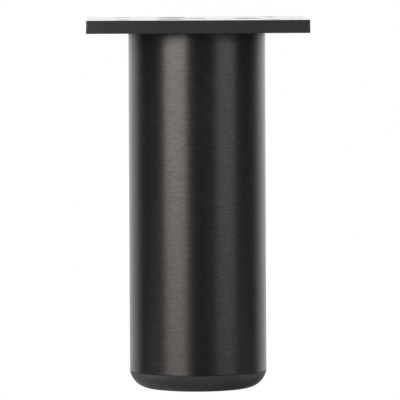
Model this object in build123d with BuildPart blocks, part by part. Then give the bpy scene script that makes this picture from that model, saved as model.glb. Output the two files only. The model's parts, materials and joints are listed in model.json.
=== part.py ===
from build123d import *
from math import radians, sqrt, tan
import os

# Adjustable furniture leg: a round tube under a square mounting plate, with a levelling foot on a screw.
# Millimetres, +Z up. The origin is the centre of the foot's floor face, on the tube's axis.
# The foot is drawn wound fully in, with its rim at the tube's lower end.

# Overall sizes
leg_height = 135.0
tube_diameter = 50.0
tube_wall = 1.5
tube_edge_break = 0.1
foot_height = 6.3
seam_gap = 0.1

# Mounting plate
plate_side = 80.0
plate_thickness = 4.7
plate_corner_radius = 0.5
plate_edge_radius = 0.1
fixing_hole_margin = 13.0
fixing_hole_diameter = 6.0
fixing_countersink_diameter = 11.0
centre_hole_diameter = 8.0
countersink_angle = 90.0

# Screws that hold the plate on the tube's upper insert
plate_screw_count = 3
screw_diameter = 6.0
screw_length = 16.0
screw_head_diameter = 11.3
screw_head_recess = 0.3
screw_hole_clearance = 0.3
screw_end_chamfer = 0.6
hex_socket_width = 4.0
hex_socket_depth = 2.3

# Upper insert, a cast plug with threaded bosses
insert_clearance = 0.03
thread_clearance = 0.05
insert_lead_in = 1.0
top_insert_height = 18.0
top_insert_wall = 2.0
top_insert_web = 3.5
top_hub_diameter = 13.0
top_hub_wall = 2.5
top_hub_depth = 11.0
spigot_clearance = 0.1
spigot_recess = 0.3
screw_boss_wall = 2.0
screw_boss_spare = 2.0
top_rib_thickness = 2.5
top_rib_depth = 9.0

# Lower insert, a moulded plug that holds the nut
bottom_insert_height = 20.0
bottom_insert_wall = 2.2
bottom_insert_web = 2.4
nut_holder_wall = 3.0
nut_roof_thickness = 4.5
nut_pocket_clearance = 0.05
stud_hole_clearance = 0.3
stud_sleeve_wall = 3.0
stud_sleeve_roof = 2.0
stud_end_clearance = 1.0
bottom_rib_pairs = 3
bottom_rib_thickness = 2.0
bottom_rib_height = 10.0

# Nut and levelling screw
stud_diameter = 10.0
stud_end_chamfer = 1.0
stud_spare = 2.0
stud_flange_diameter = 17.0
stud_flange_height = 3.5
nut_width = 17.0
nut_height = 8.0
nut_chamfer_angle = 30.0
foot_travel = 15.0
turning_clearance = 0.05

# Foot, a moulded dish with ribs inside
foot_edge_run = 7.65
foot_floor_thickness = 2.2
foot_rim_wall = 3.0
foot_pocket_taper = 2.5
foot_boss_wall = 2.5
foot_boss_height = 4.0
foot_boss_clearance = 1.0
foot_rib_pairs = 4
foot_rib_thickness = 1.6

# Levels and radii that follow from the sizes above
tube_radius = tube_diameter / 2
insert_radius = tube_radius - tube_wall - insert_clearance
tube_bottom = foot_height + seam_gap
tube_top = leg_height - plate_thickness
fixing_hole_spacing = plate_side - 2 * fixing_hole_margin
screw_head_top = leg_height - screw_head_recess
screw_hole_radius = screw_diameter / 2 + screw_hole_clearance
screw_sink_radius = screw_head_diameter / 2 + screw_head_recess
screw_bore_radius = screw_diameter / 2 + thread_clearance
screw_boss_radius = screw_bore_radius + screw_boss_wall
screw_circle_radius = insert_radius - screw_boss_radius
screw_boss_bottom = screw_head_top - screw_length - screw_boss_spare
top_web_level = tube_top - top_insert_web
foot_boss_radius = stud_flange_diameter / 2 + foot_boss_wall
foot_boss_top = foot_height + foot_boss_height
nut_level = tube_bottom + foot_boss_height + foot_boss_clearance
nut_pocket_width = nut_width + 2 * nut_pocket_clearance
nut_pocket_depth = nut_height + nut_pocket_clearance
nut_corner_radius = nut_pocket_width / sqrt(3)
nut_holder_height = nut_pocket_depth + nut_roof_thickness
stud_bore_radius = stud_diameter / 2 + turning_clearance
stud_flange_bottom = foot_floor_thickness + turning_clearance
stud_flange_top = stud_flange_bottom + stud_flange_height
stud_top = nut_level + nut_height + foot_travel + stud_spare
stud_hole_radius = stud_diameter / 2 + stud_hole_clearance
stud_hole_top = stud_top + stud_end_clearance
foot_floor_radius = tube_radius - foot_edge_run
foot_rim_radius = tube_radius - foot_rim_wall
foot_pocket_radius = foot_rim_radius - foot_pocket_taper


# Square steel plate with holes for the furniture's screws and for the tube's screws
with BuildPart() as mounting_plate:
    with BuildSketch(Plane.XY.offset(tube_top)):
        RectangleRounded(plate_side, plate_side, plate_corner_radius)
    extrude(amount=plate_thickness)
    rims = faces().filter_by(Axis.Z).edges()
    fillet(rims, radius=plate_edge_radius)
    with Locations(Plane((0, 0, tube_top), z_dir=(0, 0, -1))):
        with GridLocations(fixing_hole_spacing, fixing_hole_spacing, 2, 2):
            CounterSinkHole(
                fixing_hole_diameter / 2,
                fixing_countersink_diameter / 2,
                depth=plate_thickness,
                counter_sink_angle=countersink_angle,
            )
    with Locations((0, 0, leg_height)):
        Hole(centre_hole_diameter / 2, depth=plate_thickness)
        with PolarLocations(screw_circle_radius, plate_screw_count):
            CounterSinkHole(
                screw_hole_radius,
                screw_sink_radius,
                depth=plate_thickness,
                counter_sink_angle=countersink_angle,
            )

# One countersunk socket screw, standing on the axis
with BuildPart() as screw:
    with BuildSketch(Plane.XZ):
        with BuildLine():
            Polyline(
                (0, screw_head_top),
                (screw_head_diameter / 2, screw_head_top),
                (screw_diameter / 2, screw_head_top - (screw_head_diameter - screw_diameter) / 2),
                (screw_diameter / 2, screw_head_top - screw_length + screw_end_chamfer),
                (screw_diameter / 2 - screw_end_chamfer, screw_head_top - screw_length),
                (0, screw_head_top - screw_length),
                close=True,
            )
        make_face()
    revolve(axis=Axis.Z)
    with BuildSketch(Plane.XY.offset(screw_head_top)):
        RegularPolygon(hex_socket_width / 2, side_count=6, major_radius=False)
    extrude(amount=-hex_socket_depth, mode=Mode.SUBTRACT)

# The three screws in the plate
with BuildPart() as plate_screws:
    with PolarLocations(screw_circle_radius, plate_screw_count):
        add(screw.part)

# Cast plug in the tube's upper end: a boss for each screw, ribs to a cored hub,
# and a spigot on top that centres the plate
with BuildPart() as top_insert:
    with BuildSketch(Plane.XY.offset(tube_top)):
        Circle(insert_radius)
    extrude(amount=-top_insert_height)
    chamfer(edges().filter_by(GeomType.CIRCLE).sort_by(Axis.Z)[0], insert_lead_in)
    with BuildSketch(Plane.XY.offset(top_web_level)):
        Circle(insert_radius - top_insert_wall)
    extrude(amount=-top_insert_height, mode=Mode.SUBTRACT)
    with BuildSketch(Plane.XY.offset(tube_top)):
        with PolarLocations(screw_circle_radius, plate_screw_count):
            Circle(screw_boss_radius)
    extrude(amount=screw_boss_bottom - tube_top)
    with BuildSketch(Plane.XY.offset(tube_top)):
        Circle(top_hub_diameter / 2)
    extrude(amount=-top_hub_depth)
    with BuildSketch(Plane.XY.offset(tube_top)):
        with PolarLocations(screw_circle_radius / 2, plate_screw_count):
            Rectangle(screw_circle_radius, top_rib_thickness)
    extrude(amount=-top_rib_depth)
    with BuildSketch(Plane.XY.offset(top_web_level)):
        Circle(top_hub_diameter / 2 - top_hub_wall)
    extrude(amount=-top_hub_depth, mode=Mode.SUBTRACT)
    with Locations((0, 0, tube_top)):
        with PolarLocations(screw_circle_radius, plate_screw_count):
            Hole(screw_bore_radius)
    with BuildSketch(Plane.XY.offset(tube_top)):
        Circle(centre_hole_diameter / 2 - spigot_clearance)
    extrude(amount=plate_thickness - spigot_recess)

# Round steel tube
with BuildPart() as tube:
    with BuildSketch(Plane.XY.offset(tube_bottom)):
        Circle(tube_radius)
        Circle(tube_radius - tube_wall, mode=Mode.SUBTRACT)
    extrude(amount=tube_top - tube_bottom)
    outer_edges = edges().filter_by(GeomType.CIRCLE).group_by(SortBy.RADIUS)[-1]
    chamfer(outer_edges, tube_edge_break)

# Moulded plug in the tube's lower end: ribs round a hexagon pocket that opens downwards,
# and a closed sleeve above it that takes the stud's upper end
with BuildPart() as bottom_insert:
    with BuildSketch(Plane.XY.offset(tube_bottom)):
        Circle(insert_radius)
    extrude(amount=bottom_insert_height)
    chamfer(edges().filter_by(GeomType.CIRCLE).sort_by(Axis.Z)[-1], insert_lead_in)
    with BuildSketch(Plane.XY.offset(tube_bottom)):
        Circle(insert_radius - bottom_insert_wall)
    extrude(amount=bottom_insert_height, mode=Mode.SUBTRACT)
    with BuildSketch(Plane.XY.offset(nut_level)):
        Circle(insert_radius - bottom_insert_wall / 2)
    extrude(amount=bottom_insert_web)
    with BuildSketch(Plane.XY.offset(nut_level)):
        Circle(nut_corner_radius + nut_holder_wall)
    extrude(amount=nut_holder_height)
    with BuildSketch(Plane.XY.offset(nut_level)):
        Circle(stud_hole_radius + stud_sleeve_wall)
    extrude(amount=stud_hole_top + stud_sleeve_roof - nut_level)
    with BuildSketch(Plane.XY.offset(nut_level)):
        with PolarLocations(0, bottom_rib_pairs, angular_range=180):
            Rectangle(2 * insert_radius - bottom_insert_wall, bottom_rib_thickness)
    extrude(amount=bottom_rib_height)
    with BuildSketch(Plane.XY.offset(nut_level)):
        RegularPolygon(nut_pocket_width / 2, side_count=6, major_radius=False)
    extrude(amount=nut_pocket_depth, mode=Mode.SUBTRACT)
    with BuildSketch(Plane.XY.offset(nut_level)):
        Circle(stud_hole_radius)
    extrude(amount=stud_hole_top - nut_level, mode=Mode.SUBTRACT)

# Hexagon nut with bevelled corners, held in the lower insert's pocket
with BuildPart() as thread_nut:
    with BuildSketch(Plane.XY.offset(nut_level)):
        RegularPolygon(nut_width / 2, side_count=6, major_radius=False)
    extrude(amount=nut_height)
    nut_peak = nut_width / sqrt(3)
    nut_bevel = (nut_peak - nut_width / 2) * tan(radians(nut_chamfer_angle))
    with BuildSketch(Plane.XZ):
        with BuildLine():
            Polyline(
                (0, nut_level),
                (nut_width / 2, nut_level),
                (nut_peak, nut_level + nut_bevel),
                (nut_peak, nut_level + nut_height - nut_bevel),
                (nut_width / 2, nut_level + nut_height),
                (0, nut_level + nut_height),
                close=True,
            )
        make_face()
    revolve(axis=Axis.Z, mode=Mode.INTERSECT)
    with Locations((0, 0, nut_level + nut_height)):
        Hole(stud_bore_radius)

# Threaded stud with the round flange that the foot is moulded round
with BuildPart() as levelling_screw:
    with BuildSketch(Plane.XY.offset(stud_flange_bottom)):
        Circle(stud_flange_diameter / 2)
    extrude(amount=stud_flange_height)
    with BuildSketch(Plane.XY.offset(stud_flange_top)):
        Circle(stud_diameter / 2)
    extrude(amount=stud_top - stud_flange_top)
    chamfer(edges().filter_by(GeomType.CIRCLE).sort_by(Axis.Z)[-1], stud_end_chamfer)

# Spaces between the ribs of the foot, inside its rim
with BuildPart() as foot_pockets:
    with BuildSketch(Plane.XZ):
        with BuildLine():
            Polyline(
                (0, foot_floor_thickness),
                (foot_pocket_radius, foot_floor_thickness),
                (foot_rim_radius, foot_height),
                (0, foot_height),
                close=True,
            )
        make_face()
    revolve(axis=Axis.Z)
    with BuildSketch(Plane.XY.offset(foot_floor_thickness)):
        Circle(foot_boss_radius)
        with PolarLocations(0, foot_rib_pairs, angular_range=180):
            Rectangle(tube_diameter, foot_rib_thickness)
    extrude(amount=foot_height, mode=Mode.SUBTRACT)

# Moulded foot: a dish with a rounded edge, ribs inside and a boss round the stud
with BuildPart() as foot:
    with BuildSketch(Plane.XZ):
        with BuildLine():
            Line((0, 0), (foot_floor_radius, 0))
            TangentArc((foot_floor_radius, 0), (tube_radius, foot_height), tangent=(1, 0))
            Line((tube_radius, foot_height), (0, foot_height))
            Line((0, foot_height), (0, 0))
        make_face()
    revolve(axis=Axis.Z)
    add(foot_pockets.part, mode=Mode.SUBTRACT)
    with BuildSketch(Plane.XY.offset(foot_height)):
        Circle(foot_boss_radius)
    extrude(amount=foot_boss_height)
    with BuildSketch(Plane.XY.offset(stud_flange_bottom - turning_clearance)):
        Circle(stud_flange_diameter / 2 + turning_clearance)
    extrude(amount=stud_flange_height + 2 * turning_clearance, mode=Mode.SUBTRACT)
    with BuildSketch(Plane.XY.offset(stud_flange_bottom)):
        Circle(stud_bore_radius)
    extrude(amount=foot_boss_top - stud_flange_bottom, mode=Mode.SUBTRACT)

# One file for each piece
os.makedirs("parts", exist_ok=True)
pieces = {
    "mounting_plate": mounting_plate,
    "plate_screws": plate_screws,
    "top_insert": top_insert,
    "tube": tube,
    "bottom_insert": bottom_insert,
    "thread_nut": thread_nut,
    "levelling_screw": levelling_screw,
    "foot": foot,
}
for name, piece in pieces.items():
    piece.part.label = name
    export_step(piece.part, f"parts/{name}.step")
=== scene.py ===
import json
import math

import bmesh
import bpy
from bpy.props import FloatProperty, FloatVectorProperty, IntProperty, PointerProperty
from bpy.types import NodeSocket, Operator, Panel, PropertyGroup
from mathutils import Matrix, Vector


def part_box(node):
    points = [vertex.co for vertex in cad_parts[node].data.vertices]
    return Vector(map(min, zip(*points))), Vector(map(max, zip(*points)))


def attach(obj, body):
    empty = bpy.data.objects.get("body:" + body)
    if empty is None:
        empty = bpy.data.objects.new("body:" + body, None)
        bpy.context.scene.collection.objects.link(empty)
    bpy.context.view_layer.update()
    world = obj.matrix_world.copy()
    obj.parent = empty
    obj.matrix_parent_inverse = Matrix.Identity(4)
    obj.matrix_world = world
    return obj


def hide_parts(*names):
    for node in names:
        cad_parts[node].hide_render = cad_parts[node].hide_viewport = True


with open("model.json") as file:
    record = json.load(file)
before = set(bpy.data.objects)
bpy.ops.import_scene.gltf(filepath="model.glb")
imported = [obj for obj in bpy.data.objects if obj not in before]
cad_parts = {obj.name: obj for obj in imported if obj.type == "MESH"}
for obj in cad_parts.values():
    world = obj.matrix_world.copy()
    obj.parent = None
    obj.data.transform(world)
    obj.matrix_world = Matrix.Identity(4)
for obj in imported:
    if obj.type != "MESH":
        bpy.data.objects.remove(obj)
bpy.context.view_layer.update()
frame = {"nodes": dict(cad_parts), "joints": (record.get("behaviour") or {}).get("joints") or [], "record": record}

bl_info = {
    "name": "Adjustable Furniture Leg",
    "version": (1, 0, 0),
    "blender": (4, 5, 0),
    "location": "View3D > Sidebar > Furniture Leg",
    "description": "Builds the looks of a levelling furniture leg round its packed solids",
    "category": "Object",
}

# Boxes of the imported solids, in metres
PLATE_LOW, PLATE_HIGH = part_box("mounting_plate")
SCREWS_LOW, SCREWS_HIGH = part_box("plate_screws")
TUBE_LOW, TUBE_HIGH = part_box("tube")
STUD_LOW, STUD_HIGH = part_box("levelling_screw")
FOOT_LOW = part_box("foot")[0]

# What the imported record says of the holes, the travel and the finishes
MOUNTS = {mount["name"]: mount for mount in frame["record"]["mounts"]}
FIXING = MOUNTS["fixing_holes"]["dims"]
JOINTS = {joint["name"]: joint for joint in frame["joints"]}
FOOT_TRAVEL = JOINTS["foot_height"]["range_m"][1]
FINISHES = {finish["slot"]: finish for finish in frame["record"]["materials"]}

# How finely round forms are divided
TUBE_SEGMENTS = 192
HOLE_SEGMENTS = 72
SCREW_SEGMENTS = 48
STUD_SEGMENTS = 72
CORNER_STEPS = 8
ROUND_STEPS = 4

# Vertices nearer than this, in metres, become one, and edges that bend further stay sharp
MERGE_DISTANCE = 1e-7
SHARP_ANGLE = math.radians(32)

# A metric thread: its depth in pitches, and one turn of its outline as pairs of a share of the
# pitch and a height from the root (0) to the crest (1)
THREAD_DEPTH = 0.613
THREAD_PROFILE = ((0.0, 0.0), (0.25, 0.0), (0.5625, 1.0), (0.6875, 1.0))

# Where most values of a noise texture lie
NOISE_SPAN = (0.3, 0.7)

# Broad brushed lines: how often they come for each fine line, and their share of the tone
BROAD_FREQUENCY = 0.31
BROAD_SHARE = 0.25

# Edge wear, from its start to its full strength: cosine of the edge's bend, and noise value
WEAR_BEND = (0.995, 0.86)
WEAR_NOISE = (0.35, 0.7)
WEAR_PATCHES_PER_METRE = 420.0
WEAR_SAMPLES = 6

# Spans of a direction's X, Y or Z over which the room's brightness changes
UNDER_FRONT_Z = (-0.7, -0.35)
ROOM_FRONT_Z = (-0.2, 0.8)
UNDER_BACK_X = (-0.4, 0.4)
UNDER_BACK_Z = (-0.55, -0.25)
ROOM_BACK_Z = (-0.16, 0.06)
FRONT_TO_BACK_Y = (0.3, 0.7)

WHITE = (1.0, 1.0, 1.0)


def mm(value):
    """A length in metres from one in millimetres."""
    return value / 1000


def length(name, description, default):
    """A length that the user can set, in metres."""
    return FloatProperty(
        name=name, description=description, default=default, min=0.0,
        precision=5, subtype="DISTANCE", unit="LENGTH",
    )


def angle(name, description, degrees):
    """An angle that the user can set."""
    return FloatProperty(
        name=name, description=description, default=math.radians(degrees),
        subtype="ANGLE", unit="ROTATION",
    )


def brightness(name, description, default):
    """A brightness that the user can set, where 1 is white."""
    return FloatProperty(name=name, description=description, default=default, min=0.0)


def panel_size(name, description, default):
    """A width and a height that the user can set, in metres."""
    return FloatVectorProperty(
        name=name, description=description, default=default, size=2, min=0.0,
        subtype="XYZ", unit="LENGTH",
    )


def colour(name, description, default):
    """A colour that the user can set."""
    return FloatVectorProperty(
        name=name, description=description, default=default, size=3, min=0.0, max=1.0,
        subtype="COLOR",
    )


def finish_colour(slot):
    """The base colour that the record gives a finish."""
    return tuple(FINISHES[slot]["base_color"])


class PlateSettings(PropertyGroup):
    """Sizes and finish of the square mounting plate."""

    corner_radius: length("Corner radius", "Rounding of the plate's four corners", mm(0.5))
    edge_radius: length("Edge radius", "Rounding along the plate's edges", mm(0.1))
    edge_break: length("Edge break", "Bevel of the plain holes' mouths", mm(0.15))
    countersink: length("Countersink", "Width of the fixing holes on the underside", mm(11))
    centre_hole: length("Centre hole", "Width of the hole for the spigot", mm(8))
    screw_hole: length("Screw hole", "Width of the holes for the plate screws", mm(6.6))
    screw_sink: length("Screw countersink", "Width of the screw holes on the top face", mm(11.9))
    coat: colour("Coat", "Colour of the satin coat", finish_colour("plate_coat"))
    worn: colour("Worn edge", "Colour of the coat where edges are rubbed", (0.075, 0.075, 0.077))


class ScrewSettings(PropertyGroup):
    """Sizes and finish of the countersunk socket screws."""

    count: IntProperty(name="Count", description="Screws through the plate", default=3, min=1)
    head: length("Head", "Width of the screw head", mm(11.3))
    shank: length("Shank", "Outer width of the thread", mm(6))
    pitch: length("Pitch", "Rise of the thread in one turn", mm(1))
    lead: length("Lead-in", "Bevel at the screw's tip", mm(0.6))
    edge_break: length("Edge break", "Bevel round the head and the socket", mm(0.12))
    socket: length("Socket", "Width of the hexagon socket across its flats", mm(4))
    socket_depth: length("Socket depth", "Depth of the hexagon socket's walls", mm(2.3))
    socket_point: length("Socket point", "Depth of the cone below those walls", mm(0.4))
    oxide: colour("Black oxide", "Colour of the blackened steel", finish_colour("blackened_screw"))
    rubbed: colour("Rubbed steel", "Colour where the oxide is rubbed off", (0.22, 0.22, 0.225))


class TubeSettings(PropertyGroup):
    """Sizes and finish of the brushed tube."""

    wall: length("Wall", "Thickness of the tube's wall", mm(1.5))
    edge_break: length("Edge break", "Rounding at the tube's outer ends", mm(0.1))
    line: length("Brush line", "Width of the brushed lines", mm(0.2))
    streak: length("Streak", "How far one brushed line runs round the girth", mm(1.4))
    dark: colour("Dark line", "Colour of the metal between lines", (0.0357, 0.0352, 0.0349))
    light: colour("Light line", "Colour of the metal on a line", (0.0753, 0.0743, 0.0737))


class FootSettings(PropertyGroup):
    """Finish of the moulded foot."""

    grain: length("Grain", "Size of the moulded texture", mm(0.35))
    plastic: colour("Plastic", "Colour of the foot", finish_colour("foot_plastic"))
    scuffed: colour("Scuffed plastic", "Colour of the foot where it is rubbed", (0.07, 0.07, 0.07))


class StudSettings(PropertyGroup):
    """Sizes and finish of the threaded stud that stands in the foot."""

    diameter: length("Stud", "Outer width of the thread", mm(10))
    pitch: length("Pitch", "Rise of the thread in one turn", mm(1.5))
    lead: length("Lead-in", "Bevel at the stud's upper end", mm(1))
    flange_height: length("Flange", "Height of the flange inside the foot", mm(3.5))
    edge_break: length("Edge break", "Bevel round the flange", mm(0.3))
    zinc: colour("Zinc", "Colour of the zinc plating", finish_colour("zinc_plate"))


class InnerSettings(PropertyGroup):
    """Finish of the inserts inside the tube."""

    aluminium: colour("Aluminium", "Colour of the upper insert", finish_colour("cast_aluminium"))
    nylon: colour("Nylon", "Colour of the lower insert", finish_colour("moulded_nylon"))


class StageSettings(PropertyGroup):
    """Camera, lights and floor. An azimuth of 0 is at the front, and grows to the right."""

    camera_distance: length("Camera distance", "From the tube's axis to the camera", 1.687)
    camera_height: length("Camera height", "Above the foot's floor face", 0.164)
    camera_azimuth: angle("Camera azimuth", "Where the camera stands round the axis", -0.8)
    camera_roll: angle("Camera roll", "Turn of the camera about its view", -0.25)
    camera_lens: FloatProperty(name="Lens", description="Focal length", default=416, unit="CAMERA")
    camera_reach: length("Camera reach", "How far the camera sees", 100.0)
    aim_side: length("Aim to the side", "How far right of the axis the camera aims", 0.00093)
    aim_height: length("Aim height", "Height that the camera aims at", 0.06864)
    floor_reach: length("Floor reach", "From the tube's axis to the floor's edges", 6.0)
    floor_gap: length("Floor gap", "Between the floor and the foot wound fully out", mm(0.5))
    light_distance: length("Light distance", "From the tube's axis to the soft boxes", 0.6)
    main_azimuth: angle("Main azimuth", "Where the main soft box stands", -37.5)
    main_level: length("Main level", "Height of the main soft box's middle", 0.195)
    main_size: panel_size("Main size", "Width and height of the main soft box", (0.407, 0.11))
    main_light: brightness("Main light", "Brightness of the main soft box", 20.3)
    main_colour: colour("Main colour", "Colour of the main soft box", (1.0, 0.935, 0.892))
    side_azimuth: angle("Side azimuth", "Where the side soft box stands", 48)
    side_level: length("Side level", "Height of the side soft box's middle", 0.185)
    side_size: panel_size("Side size", "Width and height of the side soft box", (0.355, 0.11))
    side_light: brightness("Side light", "Brightness of the side soft box", 5.85)
    side_colour: colour("Side colour", "Colour of the side soft box", WHITE)
    room_front: brightness("Room", "The room behind the camera", 0.46)
    floor_front: brightness("Near floor", "The floor at the camera", 0.15)
    room_back: brightness("Backdrop", "The backdrop behind the leg", 2.2)
    floor_back: brightness("Far floor", "The floor behind the leg", 0.45)
    under_front: brightness("Floor under, front", "The floor close in front of the foot", 0.2)
    under_left: brightness("Floor under, left", "The floor behind the foot, on the left", 0.35)
    under_right: brightness("Floor under, right", "The floor behind the foot, on the right", 0.03)
    bounce_gap: length("Bounce gap", "From the tube's axis to the lit floor beside it", 0.045)
    bounce_size: panel_size("Bounce size", "Width and depth of the lit floor", (0.28, 0.4))
    bounce_left: brightness("Bounce, left", "Brightness of the lit floor on the left", 0.6)
    bounce_right: brightness("Bounce, right", "Brightness of the lit floor on the right", 0.36)


# Mesh tools: a loop is a list of vertices round a closed line


def even_turns(count):
    """Angles that divide a whole turn evenly."""
    return [2 * math.pi * step / count for step in range(count)]


def around(reach, turn, level, centre=(0.0, 0.0)):
    """A point at a distance from an upright axis, turned about it from +X."""
    return Vector((centre[0] + reach * math.cos(turn), centre[1] + reach * math.sin(turn), level))


def circle(radius, level, count, centre=(0.0, 0.0)):
    """Points round a circle."""
    return [around(radius, turn, level, centre) for turn in even_turns(count)]


def hexagon(width, level, count, centre=(0.0, 0.0)):
    """Points round a hexagon of that width across its flats. The count is a multiple of six."""
    sixth = math.pi / 3
    points = []
    for turn in even_turns(count):
        reach = width / 2 / math.cos(turn % sixth - sixth / 2)
        points.append(around(reach, turn, level, centre))
    return points


def rounded_square(side, corner, level):
    """Points round a square with rounded corners, centred on the axis."""
    reach = side / 2 - corner
    points = []
    for quarter, (along_x, along_y) in enumerate(((1, 1), (-1, 1), (-1, -1), (1, -1))):
        centre = (along_x * reach, along_y * reach)
        for step in range(CORNER_STEPS + 1):
            turn = math.pi / 2 * (quarter + step / CORNER_STEPS)
            points.append(around(corner, turn, level, centre))
    return points


def rounded_edges(radius, low, high):
    """Pairs of inset and level, going up a wall with a rounded edge at each end."""
    turns = [math.pi / 2 * step / ROUND_STEPS for step in range(ROUND_STEPS + 1)]
    edge = [(radius * (1 - math.sin(turn)), radius * (1 - math.cos(turn))) for turn in turns]
    lower = [(inset, low + rise) for inset, rise in edge]
    upper = [(inset, high - rise) for inset, rise in reversed(edge)]
    return lower + upper


def bridge(bm, first, second):
    """Faces between two loops of as many vertices."""
    for index in range(len(first)):
        bm.faces.new((first[index - 1], first[index], second[index], second[index - 1]))


def stack(bm, outlines):
    """A wall through several outlines. Returns their loops."""
    loops = [[bm.verts.new(point) for point in outline] for outline in outlines]
    for first, second in zip(loops, loops[1:]):
        bridge(bm, first, second)
    return loops


def turned(bm, profile, count, centre=(0.0, 0.0)):
    """A wall turned about an upright axis, from pairs of radius and level. Returns its loops."""
    return stack(bm, [circle(radius, level, count, centre) for radius, level in profile])


def cap(bm, loop):
    """Closes a loop with one flat face."""
    bm.faces.new(loop)


def fan(bm, loop, tip):
    """Closes a loop with a cone to one point."""
    point = bm.verts.new(tip)
    for index in range(len(loop)):
        bm.faces.new((loop[index - 1], loop[index], point))


def fill(bm, *loops):
    """Fills the flat face between an outer loop and the loops of its holes."""
    edges = [bm.edges.get((loop[i - 1], loop[i])) for loop in loops for i in range(len(loop))]
    bmesh.ops.triangle_fill(bm, use_beauty=True, use_dissolve=False, edges=edges)


def thread(bm, radius, pitch, bottom, top, bottom_radius, top_radius, count, centre=(0.0, 0.0)):
    """A right-hand outer thread between two levels, ending in a circle at each."""
    root = radius - THREAD_DEPTH * pitch
    # One lap more below and one above, held at the two levels
    laps = math.ceil((top - bottom) / pitch) + 2
    rows = []
    for lap in range(laps):
        for share, height in THREAD_PROFILE:
            row = []
            for step in range(count + 1):
                level = bottom + (lap - 1 + share + step / count) * pitch
                lead = bottom_radius + level - bottom
                reach = min(root + height * (radius - root), max(lead, root))
                if level <= bottom:
                    level, reach = bottom, bottom_radius
                if level >= top:
                    level, reach = top, top_radius
                turn = 2 * math.pi * step / count
                row.append(bm.verts.new(around(reach, turn, level, centre)))
            rows.append(row)
    for first, second in zip(rows, rows[1:]):
        for step in range(count):
            bm.faces.new((first[step], first[step + 1], second[step + 1], second[step]))


def fixing_places():
    """Where the plate's four fixing holes stand, seen from above."""
    reach_x = mm(FIXING["spacing_x_mm"]) / 2
    reach_y = mm(FIXING["spacing_y_mm"]) / 2
    return [(x * reach_x, y * reach_y) for x in (-1, 1) for y in (-1, 1)]


def screw_places(sizes):
    """Where the plate's screws stand, seen from above."""
    reach = SCREWS_HIGH.x - sizes.head / 2
    return [(reach * math.cos(turn), reach * math.sin(turn)) for turn in even_turns(sizes.count)]


def add_object(name, data):
    """Makes an object of a mesh, a light or a camera, and links it to the scene."""
    made = bpy.data.objects.new(name, data)
    bpy.context.scene.collection.objects.link(made)
    return made


def add_piece(name, bm, material, body, node):
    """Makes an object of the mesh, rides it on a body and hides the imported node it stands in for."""
    bmesh.ops.remove_doubles(bm, verts=bm.verts, dist=MERGE_DISTANCE)
    bmesh.ops.dissolve_degenerate(bm, edges=bm.edges, dist=MERGE_DISTANCE)
    bmesh.ops.recalc_face_normals(bm, faces=bm.faces)
    mesh = bpy.data.meshes.new(name)
    bm.to_mesh(mesh)
    bm.free()
    mesh.shade_smooth()
    mesh.set_sharp_from_angle(angle=SHARP_ANGLE)
    mesh.materials.append(material)
    piece = add_object(name, mesh)
    weighted = piece.modifiers.new("Flat faces stay flat", "WEIGHTED_NORMAL")
    weighted.keep_sharp = True
    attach(piece, body)
    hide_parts(node)


def dress_node(node, material):
    """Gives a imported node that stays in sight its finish."""
    fitted = frame["nodes"][node]
    if not fitted.material_slots:
        raise RuntimeError(f"{node} has no material slot")
    for place in fitted.material_slots:
        place.material = material


# Node tools: a value is a number or an output socket to link from


def add_node(tree, kind, inputs=None, **settings):
    """Adds a node, with values for its inputs."""
    made = tree.nodes.new(kind)
    for name, value in settings.items():
        setattr(made, name, value)
    for key, value in (inputs or {}).items():
        if isinstance(value, NodeSocket):
            tree.links.new(value, made.inputs[key])
        else:
            made.inputs[key].default_value = value
    return made


def math_node(tree, operation, first, second):
    """The result of one calculation on two values."""
    return add_node(tree, "ShaderNodeMath", {0: first, 1: second}, operation=operation).outputs[0]


def vector_node(tree, operation, first, second):
    """A node with one calculation on two vectors."""
    return add_node(tree, "ShaderNodeVectorMath", {0: first, 1: second}, operation=operation)


def noise(tree, place, scale, detail, roughness):
    """The value of a noise texture."""
    inputs = {"Vector": place, "Scale": scale, "Detail": detail, "Roughness": roughness}
    return add_node(tree, "ShaderNodeTexNoise", inputs).outputs["Fac"]


def spread(tree, value, span, low, high, interpolation="LINEAR"):
    """Carries a value from a span over to the range from low to high, and holds it at the ends."""
    start, end = span
    inputs = {"Value": value, "From Min": start, "From Max": end, "To Min": low, "To Max": high}
    return add_node(
        tree, "ShaderNodeMapRange", inputs, interpolation_type=interpolation
    ).outputs[0]


# A Mix node has sockets of the same name for numbers and colours, so they are taken by place


def mix_numbers(tree, factor, first, second):
    """A number between two values."""
    return add_node(tree, "ShaderNodeMix", {0: factor, 2: first, 3: second}).outputs[0]


def mix_colours(tree, factor, first, second):
    """A colour between two, each of them three numbers or a socket."""
    first, second = (
        part if isinstance(part, NodeSocket) else (*part, 1.0) for part in (first, second)
    )
    inputs = {0: factor, 6: first, 7: second}
    return add_node(tree, "ShaderNodeMix", inputs, data_type="RGBA").outputs[2]


def bump(tree, height, strength, depth):
    """A normal from a height, with the depth in metres."""
    inputs = {"Height": height, "Strength": strength, "Distance": depth}
    return add_node(tree, "ShaderNodeBump", inputs).outputs[0]


def new_group(name, inputs, outputs):
    """A shader node group with number sockets. Returns its tree, input node and output node."""
    tree = bpy.data.node_groups.new(name, "ShaderNodeTree")
    for label, default in inputs.items():
        socket = tree.interface.new_socket(
            name=label, in_out="INPUT", socket_type="NodeSocketFloat"
        )
        socket.default_value = default
    for label in outputs:
        tree.interface.new_socket(name=label, in_out="OUTPUT", socket_type="NodeSocketFloat")
    return tree, tree.nodes.new("NodeGroupInput"), tree.nodes.new("NodeGroupOutput")


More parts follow.
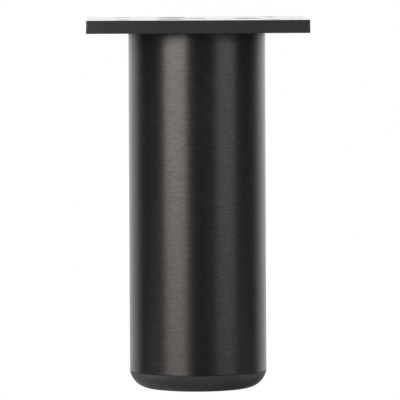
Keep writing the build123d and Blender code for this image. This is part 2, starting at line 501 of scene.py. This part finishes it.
def grain_group():
    """Fine grain of a coat, casting or moulding: a height and a slow drift of tone."""
    found = bpy.data.node_groups.get("Grain")
    if found:
        return found
    sizes = {"Size": mm(0.5), "Drift": mm(20)}
    tree, given, result = new_group("Grain", sizes, ("Height", "Drift"))
    place = add_node(tree, "ShaderNodeTexCoord").outputs["Object"]
    fine_scale = math_node(tree, "DIVIDE", 1.0, given.outputs["Size"])
    slow_scale = math_node(tree, "DIVIDE", 1.0, given.outputs["Drift"])
    fine = noise(tree, place, fine_scale, detail=2.0, roughness=0.5)
    slow = noise(tree, place, slow_scale, detail=4.0, roughness=0.55)
    tree.links.new(fine, result.inputs["Height"])
    tree.links.new(slow, result.inputs["Drift"])
    return tree


def brush_group():
    """Brushed lines that run round an upright axis: a height, and a tone for each line."""
    found = bpy.data.node_groups.get("Brush Lines")
    if found:
        return found
    sizes = {"Line": mm(0.2), "Streak": mm(20)}
    tree, given, result = new_group("Brush Lines", sizes, ("Height", "Tone"))
    place = add_node(tree, "ShaderNodeTexCoord").outputs["Object"]
    along = math_node(tree, "DIVIDE", 1.0, given.outputs["Streak"])
    across = math_node(tree, "DIVIDE", 1.0, given.outputs["Line"])
    scale = add_node(tree, "ShaderNodeCombineXYZ", {"X": along, "Y": along, "Z": across})
    stretched = vector_node(tree, "MULTIPLY", place, scale.outputs[0]).outputs[0]
    fine = noise(tree, stretched, 1.0, detail=3.0, roughness=0.65)
    broad = noise(tree, stretched, BROAD_FREQUENCY, detail=2.0, roughness=0.5)
    tree.links.new(fine, result.inputs["Height"])
    tree.links.new(mix_numbers(tree, BROAD_SHARE, fine, broad), result.inputs["Tone"])
    return tree


def wear_group():
    """Rubbed edges: 0 on flat faces, up to 1 along edges, broken up by noise."""
    found = bpy.data.node_groups.get("Edge Wear")
    if found:
        return found
    sizes = {"Width": mm(0.5), "Amount": 0.5}
    tree, given, result = new_group("Edge Wear", sizes, ("Mask",))
    width = given.outputs["Width"]
    rounded = add_node(tree, "ShaderNodeBevel", {"Radius": width}, samples=WEAR_SAMPLES)
    normal = add_node(tree, "ShaderNodeNewGeometry").outputs["Normal"]
    bend = vector_node(tree, "DOT_PRODUCT", rounded.outputs[0], normal).outputs["Value"]
    edge = spread(tree, bend, WEAR_BEND, 0.0, 1.0)
    place = add_node(tree, "ShaderNodeTexCoord").outputs["Object"]
    patches = noise(tree, place, WEAR_PATCHES_PER_METRE, detail=3.0, roughness=0.6)
    worn = math_node(tree, "MULTIPLY", edge, spread(tree, patches, WEAR_NOISE, 0.0, 1.0))
    mask = math_node(tree, "MULTIPLY", worn, given.outputs["Amount"])
    tree.links.new(mask, result.inputs["Mask"])
    return tree


def place_group(tree, group, **values):
    """Places a node group in a material, with its own values. Returns its outputs."""
    return add_node(tree, "ShaderNodeGroup", values, node_tree=group).outputs


# Materials


def shader_inputs(material):
    """The inputs of a material's Principled BSDF."""
    return material.node_tree.nodes["Principled BSDF"].inputs


def new_material(name):
    """A material with a Principled BSDF. Returns the material, its tree and the shader's inputs."""
    material = bpy.data.materials.new(name)
    material.use_nodes = True
    return material, material.node_tree, shader_inputs(material)


def toned(base, share):
    """A colour made darker, or lighter with a share over 1."""
    return tuple(part * share for part in base)


def vary(tree, shader, drift, base, tones, roughness):
    """Lets a slow drift move the tone between two shares of a colour, and the roughness too."""
    dark, light = (toned(base, share) for share in tones)
    tree.links.new(mix_colours(tree, drift, dark, light), shader["Base Color"])
    tree.links.new(spread(tree, drift, NOISE_SPAN, *roughness), shader["Roughness"])


def grained(name, base, size, drift, tones, roughness, relief, depth, metallic=0.0):
    """A material with a fine grain in its relief and a slow drift in its tone and roughness."""
    material, tree, shader = new_material(name)
    grain = place_group(tree, grain_group(), Size=size, Drift=drift)
    vary(tree, shader, grain["Drift"], base, tones, roughness)
    tree.links.new(bump(tree, grain["Height"], relief, depth), shader["Normal"])
    shader["Metallic"].default_value = metallic
    return material


def rub_edges(material, rubbed, width, amount):
    """Mixes another colour into a material's base colour along a piece's edges."""
    tree, base = material.node_tree, shader_inputs(material)["Base Color"]
    wear = place_group(tree, wear_group(), Width=width, Amount=amount)
    whole = base.links[0].from_socket
    tree.links.new(mix_colours(tree, wear["Mask"], whole, rubbed), base)


def coat_material(settings):
    """Satin black coat of the plate, with a fine texture and slightly rubbed edges."""
    material = grained(
        "plate_coat", settings.coat, size=mm(0.7), drift=mm(16), tones=(0.85, 1.15),
        roughness=(0.285, 0.33), relief=0.8, depth=mm(0.05),
    )
    rub_edges(material, settings.worn, width=mm(0.2), amount=0.3)
    return material


def oxide_material(settings):
    """Black oxide of the screws, rubbed along the socket and the rim."""
    material = grained(
        "blackened_screw", settings.oxide, size=mm(0.3), drift=mm(5), tones=(0.8, 1.3),
        roughness=(0.34, 0.5), relief=0.2, depth=mm(0.02), metallic=1.0,
    )
    rub_edges(material, settings.rubbed, width=mm(0.3), amount=0.6)
    return material


def tube_material(settings):
    """Black metal, finely brushed round the girth."""
    material, tree, shader = new_material("brushed_tube")
    brush = place_group(tree, brush_group(), Line=settings.line, Streak=settings.streak)
    grain = place_group(tree, grain_group(), Size=mm(0.6), Drift=mm(30))
    tone = spread(tree, brush["Tone"], NOISE_SPAN, 0.0, 1.0)
    tree.links.new(mix_colours(tree, tone, settings.dark, settings.light), shader["Base Color"])
    lines = spread(tree, brush["Height"], NOISE_SPAN, low=-0.02, high=0.02)
    drift = spread(tree, grain["Drift"], NOISE_SPAN, low=0.37, high=0.4)
    tree.links.new(math_node(tree, "ADD", lines, drift), shader["Roughness"])
    shader["Metallic"].default_value = 1.0
    shader["Anisotropic"].default_value = 0.75
    shader["Anisotropic Rotation"].default_value = 0.25
    girth = add_node(tree, "ShaderNodeTangent", direction_type="RADIAL", axis="Z")
    tree.links.new(girth.outputs[0], shader["Tangent"])
    relief = bump(tree, brush["Height"], strength=0.08, depth=mm(0.01))
    tree.links.new(relief, shader["Normal"])
    return material


def plastic_material(settings):
    """Dark matt plastic of the foot, with a fine moulded texture."""
    material = grained(
        "foot_plastic", settings.plastic, size=settings.grain, drift=mm(14), tones=(0.88, 1.12),
        roughness=(0.38, 0.46), relief=0.6, depth=mm(0.05),
    )
    rub_edges(material, settings.scuffed, width=mm(0.3), amount=0.3)
    shader_inputs(material)["Specular IOR Level"].default_value = 0.75
    return material


def zinc_material(settings):
    """Bright zinc plating of the stud and the nut, with fine turning marks."""
    material, tree, shader = new_material("zinc_plate")
    grain = place_group(tree, grain_group(), Size=mm(0.25), Drift=mm(6))
    brush = place_group(tree, brush_group(), Line=mm(0.08), Streak=mm(5))
    vary(tree, shader, grain["Drift"], settings.zinc, tones=(0.82, 1.12), roughness=(0.29, 0.4))
    shader["Metallic"].default_value = 1.0
    relief = bump(tree, brush["Height"], strength=0.15, depth=mm(0.01))
    tree.links.new(relief, shader["Normal"])
    return material


def cast_material(settings):
    """Cast aluminium of the upper insert, with a sandy skin."""
    return grained(
        "cast_aluminium", settings.aluminium, size=mm(0.7), drift=mm(9), tones=(0.55, 0.85),
        roughness=(0.42, 0.6), relief=0.5, depth=mm(0.08), metallic=1.0,
    )


def nylon_material(settings):
    """Dark moulded nylon of the lower insert."""
    return grained(
        "moulded_nylon", settings.nylon, size=mm(0.5), drift=mm(12), tones=(0.85, 1.15),
        roughness=(0.45, 0.58), relief=0.25, depth=mm(0.04),
    )


# Pieces


class FURNITURELEG_OT_plate(Operator):
    """Builds the square plate with its rounded edges, fixing holes and countersinks"""

    bl_idname = "furniture_leg.plate"
    bl_label = "Mounting plate"

    def execute(self, context):
        sizes = context.scene.leg_plate
        low, high = PLATE_LOW.z, PLATE_HIGH.z
        side, corner = PLATE_HIGH.x - PLATE_LOW.x, sizes.corner_radius
        outlines = [
            rounded_square(side - 2 * inset, corner - inset, level)
            for inset, level in rounded_edges(sizes.edge_radius, low, high)
        ]
        lip = sizes.edge_break
        hole, sink = mm(FIXING["hole_r_mm"]), sizes.countersink / 2
        fixing = [(sink, low), (hole, low + sink - hole), (hole, high - lip), (hole + lip, high)]
        centre = sizes.centre_hole / 2
        middle = [
            (centre + lip, low), (centre, low + lip), (centre, high - lip), (centre + lip, high)
        ]
        shaft, mouth = sizes.screw_hole / 2, sizes.screw_sink / 2
        screw = [(shaft, low), (shaft, high - mouth + shaft), (mouth, high)]
        bm = bmesh.new()
        walls = [stack(bm, outlines), turned(bm, middle, HOLE_SEGMENTS)]
        for place in fixing_places():
            walls.append(turned(bm, fixing, HOLE_SEGMENTS, place))
        for place in screw_places(context.scene.leg_screws):
            walls.append(turned(bm, screw, HOLE_SEGMENTS, place))
        fill(bm, *[loops[0] for loops in walls])
        fill(bm, *[loops[-1] for loops in walls])
        add_piece("coated_plate", bm, coat_material(sizes), "leg", "mounting_plate")
        return {"FINISHED"}


class FURNITURELEG_OT_screws(Operator):
    """Builds the countersunk socket screws with their hexagon sockets and threads"""

    bl_idname = "furniture_leg.screws"
    bl_label = "Plate screws"

    def execute(self, context):
        sizes = context.scene.leg_screws
        tip, top = SCREWS_LOW.z, SCREWS_HIGH.z
        head, shank = sizes.head / 2, sizes.shank / 2
        neck = top - head + shank
        point = shank - sizes.lead
        lip = sizes.edge_break
        corner = sizes.socket / math.sqrt(3)
        floor = top - sizes.socket_depth
        bm = bmesh.new()
        for place in screw_places(sizes):
            thread(bm, shank, sizes.pitch, tip, neck, point, shank, SCREW_SEGMENTS, place)
            end = turned(bm, [(point, tip)], SCREW_SEGMENTS, place)
            cap(bm, end[0])
            outlines = [
                circle(shank, neck, SCREW_SEGMENTS, place),
                circle(head - lip, top - lip, SCREW_SEGMENTS, place),
                circle(head - 2 * lip, top, SCREW_SEGMENTS, place),
                circle(corner + lip, top, SCREW_SEGMENTS, place),
                hexagon(sizes.socket, top - lip, SCREW_SEGMENTS, place),
                hexagon(sizes.socket, floor, SCREW_SEGMENTS, place),
            ]
            loops = stack(bm, outlines)
            fan(bm, loops[-1], (*place, floor - sizes.socket_point))
        add_piece(
            "socket_screws", bm, oxide_material(sizes), "leg", "plate_screws"
        )
        return {"FINISHED"}


class FURNITURELEG_OT_tube(Operator):
    """Builds the brushed tube with its rounded ends"""

    bl_idname = "furniture_leg.tube"
    bl_label = "Tube"

    def execute(self, context):
        sizes = context.scene.leg_tube
        low, high, radius = TUBE_LOW.z, TUBE_HIGH.z, TUBE_HIGH.x
        bore = radius - sizes.wall
        edges = rounded_edges(sizes.edge_break, low, high)
        outside = [(radius - inset, level) for inset, level in edges]
        bm = bmesh.new()
        loops = turned(bm, [(bore, low), *outside, (bore, high)], TUBE_SEGMENTS)
        bridge(bm, loops[-1], loops[0])
        add_piece("brushed_tube", bm, tube_material(sizes), "leg", "tube")
        return {"FINISHED"}


class FURNITURELEG_OT_stud(Operator):
    """Builds the levelling screw with its thread and flange, turning with the foot"""

    bl_idname = "furniture_leg.stud"
    bl_label = "Levelling screw"

    def execute(self, context):
        sizes = context.scene.leg_stud
        low, top = STUD_LOW.z, STUD_HIGH.z
        shoulder, neck = low + sizes.flange_height, top - sizes.lead
        flange, radius, lip = STUD_HIGH.x, sizes.diameter / 2, sizes.edge_break
        profile = [
            (flange - lip, low), (flange, low + lip), (flange, shoulder - lip),
            (flange - lip, shoulder), (radius, shoulder),
        ]
        bm = bmesh.new()
        cap(bm, turned(bm, profile, STUD_SEGMENTS)[0])
        thread(bm, radius, sizes.pitch, shoulder, neck, radius, radius, STUD_SEGMENTS)
        end = turned(bm, [(radius, neck), (radius - sizes.lead, top)], STUD_SEGMENTS)
        cap(bm, end[-1])
        add_piece(
            "threaded_stud", bm, zinc_material(sizes), "foot", "levelling_screw"
        )
        return {"FINISHED"}


class FURNITURELEG_OT_foot(Operator):
    """Gives the moulded foot its matt plastic"""

    bl_idname = "furniture_leg.foot"
    bl_label = "Foot"

    def execute(self, context):
        dress_node("foot", plastic_material(context.scene.leg_foot))
        return {"FINISHED"}


class FURNITURELEG_OT_inner(Operator):
    """Gives the inserts and the nut inside the tube their finishes"""

    bl_idname = "furniture_leg.inner"
    bl_label = "Inserts and nut"

    def execute(self, context):
        scene = context.scene
        dress_node("top_insert", cast_material(scene.leg_inner))
        dress_node("bottom_insert", nylon_material(scene.leg_inner))
        zinc = bpy.data.materials.get("zinc_plate") or zinc_material(scene.leg_stud)
        dress_node("thread_nut", zinc)
        return {"FINISHED"}


# Studio


def face(thing, target):
    """Turns a light or a camera to look at a point."""
    thing.rotation_euler = (target - thing.location).to_track_quat("-Z", "Y").to_euler()


def lit_panel(name, size, glow, tint):
    """A lit rectangle that the camera doesn't see."""
    width, height = size
    data = bpy.data.lights.new(name, "AREA")
    data.shape = "RECTANGLE"
    data.size, data.size_y = width, height
    data.energy = glow * math.pi * width * height
    data.color = tint
    light = add_object(name, data)
    light.visible_camera = False
    return light


def soft_box(name, distance, azimuth, level, size, glow, tint):
    """A soft box that faces the tube's axis."""
    light = lit_panel(name, size, glow, tint)
    light.location = (distance * math.sin(azimuth), -distance * math.cos(azimuth), level)
    face(light, Vector((0.0, 0.0, level)))


def floor_bounce(name, side, gap, level, size, glow):
    """The lit floor on one side of the leg: -1 is left and 1 is right."""
    width, depth = size
    light = lit_panel(name, size, glow, WHITE)
    light.location = (side * (gap + width / 2), -depth / 2, level)
    light.rotation_euler = (math.pi, 0.0, 0.0)


def room_world(settings):
    """A bright backdrop behind the leg and a darker room in front, all white to the camera."""
    world = bpy.data.worlds.new("Studio")
    bpy.context.scene.world = world
    world.use_nodes = True
    tree = world.node_tree
    tree.nodes.clear()
    direction = add_node(tree, "ShaderNodeTexCoord").outputs["Generated"]
    parts = add_node(tree, "ShaderNodeSeparateXYZ", {0: direction}).outputs

    def ramp(axis, span, low, high):
        """A smooth change along one axis."""
        return spread(tree, parts[axis], span, low, high, "SMOOTHSTEP")

    near = ramp("Z", UNDER_FRONT_Z, settings.under_front, settings.floor_front)
    front = ramp("Z", ROOM_FRONT_Z, near, settings.room_front)
    under = ramp("X", UNDER_BACK_X, settings.under_left, settings.under_right)
    far = ramp("Z", UNDER_BACK_Z, under, settings.floor_back)
    back = ramp("Z", ROOM_BACK_Z, far, settings.room_back)
    glow = mix_numbers(tree, ramp("Y", FRONT_TO_BACK_Y, 0.0, 1.0), front, back)
    lit = add_node(tree, "ShaderNodeBackground", {"Color": glow}).outputs[0]
    seen = add_node(tree, "ShaderNodeBackground", {"Color": (*WHITE, 1.0)}).outputs[0]
    camera_ray = add_node(tree, "ShaderNodeLightPath").outputs["Is Camera Ray"]
    mix = add_node(tree, "ShaderNodeMixShader", {0: camera_ray, 1: lit, 2: seen})
    add_node(tree, "ShaderNodeOutputWorld", {"Surface": mix.outputs[0]})


def floor_material():
    """Plain white floor, see-through from below."""
    material = bpy.data.materials.new("studio_floor")
    material.use_nodes = True
    tree = material.node_tree
    tree.nodes.clear()
    below = add_node(tree, "ShaderNodeNewGeometry").outputs["Backfacing"]
    white = add_node(tree, "ShaderNodeEmission", {"Color": (*WHITE, 1.0)}).outputs[0]
    clear = add_node(tree, "ShaderNodeBsdfTransparent").outputs[0]
    mix = add_node(tree, "ShaderNodeMixShader", {0: below, 1: white, 2: clear})
    add_node(tree, "ShaderNodeOutputMaterial", {"Surface": mix.outputs[0]})
    return material


def studio_floor(level, reach):
    """A plain floor that only the camera sees."""
    corners = [(x * reach, y * reach, level) for x, y in ((-1, -1), (1, -1), (1, 1), (-1, 1))]
    mesh = bpy.data.meshes.new("studio_floor")
    mesh.from_pydata(corners, [], [(0, 1, 2, 3)])
    mesh.materials.append(floor_material())
    floor = add_object("studio_floor", mesh)
    floor.visible_diffuse = False
    floor.visible_glossy = False
    floor.visible_shadow = False


def studio_camera(settings):
    """The scene's camera, aimed at the leg and rolled a little."""
    data = bpy.data.cameras.new("camera")
    data.lens = settings.camera_lens
    data.clip_end = settings.camera_reach
    camera = add_object("camera", data)
    target = Vector((settings.aim_side, 0.0, settings.aim_height))
    away, azimuth = settings.camera_distance, settings.camera_azimuth
    camera.location = (
        target.x + away * math.sin(azimuth), -away * math.cos(azimuth), settings.camera_height
    )
    face(camera, target)
    camera.rotation_euler.rotate_axis("Z", settings.camera_roll)
    bpy.context.scene.camera = camera


class FURNITURELEG_OT_stage(Operator):
    """Sets up the pale floor, the lights, the room and the camera"""

    bl_idname = "furniture_leg.stage"
    bl_label = "Studio"

    def execute(self, context):
        settings = context.scene.leg_stage
        level = FOOT_LOW.z - FOOT_TRAVEL - settings.floor_gap
        room_world(settings)
        studio_floor(level, settings.floor_reach)
        soft_box(
            "soft_box_main", settings.light_distance, settings.main_azimuth, settings.main_level,
            settings.main_size, settings.main_light, settings.main_colour,
        )
        soft_box(
            "soft_box_side", settings.light_distance, settings.side_azimuth, settings.side_level,
            settings.side_size, settings.side_light, settings.side_colour,
        )
        gap, size = settings.bounce_gap, settings.bounce_size
        floor_bounce("bounce_left", -1, gap, level, size, settings.bounce_left)
        floor_bounce("bounce_right", 1, gap, level, size, settings.bounce_right)
        studio_camera(settings)
        context.scene.view_settings.view_transform = "Standard"
        return {"FINISHED"}


OPERATORS = (
    FURNITURELEG_OT_plate,
    FURNITURELEG_OT_screws,
    FURNITURELEG_OT_tube,
    FURNITURELEG_OT_stud,
    FURNITURELEG_OT_foot,
    FURNITURELEG_OT_inner,
    FURNITURELEG_OT_stage,
)
SETTINGS = {
    "leg_plate": PlateSettings,
    "leg_screws": ScrewSettings,
    "leg_tube": TubeSettings,
    "leg_stud": StudSettings,
    "leg_foot": FootSettings,
    "leg_inner": InnerSettings,
    "leg_stage": StageSettings,
}


class FURNITURELEG_PT_panel(Panel):
    """Lists the leg's pieces and its studio in the 3D view's sidebar"""

    bl_idname = "FURNITURELEG_PT_panel"
    bl_label = "Furniture Leg"
    bl_space_type = "VIEW_3D"
    bl_region_type = "UI"
    bl_category = "Furniture Leg"

    def draw(self, context):
        for operator in OPERATORS:
            self.layout.operator(operator.bl_idname)
        for name in SETTINGS:
            group = getattr(context.scene, name)
            box = self.layout.box()
            for setting in group.bl_rna.properties.keys():
                if setting not in ("rna_type", "name"):
                    box.prop(group, setting)


def register():
    """Adds the settings, the operators and the panel."""
    for name, group in SETTINGS.items():
        bpy.utils.register_class(group)
        setattr(bpy.types.Scene, name, PointerProperty(type=group))
    for operator in OPERATORS:
        bpy.utils.register_class(operator)
    bpy.utils.register_class(FURNITURELEG_PT_panel)


def unregister():
    """Takes away what register added."""
    bpy.utils.unregister_class(FURNITURELEG_PT_panel)
    for operator in reversed(OPERATORS):
        bpy.utils.unregister_class(operator)
    for name, group in SETTINGS.items():
        delattr(bpy.types.Scene, name)
        bpy.utils.unregister_class(group)


def main():
    """Builds the leg and its studio."""
    register()
    bpy.ops.furniture_leg.plate()
    bpy.ops.furniture_leg.screws()
    bpy.ops.furniture_leg.tube()
    bpy.ops.furniture_leg.stud()
    bpy.ops.furniture_leg.foot()
    bpy.ops.furniture_leg.inner()
    bpy.ops.furniture_leg.stage()


if __name__ == "__main__":
    main()
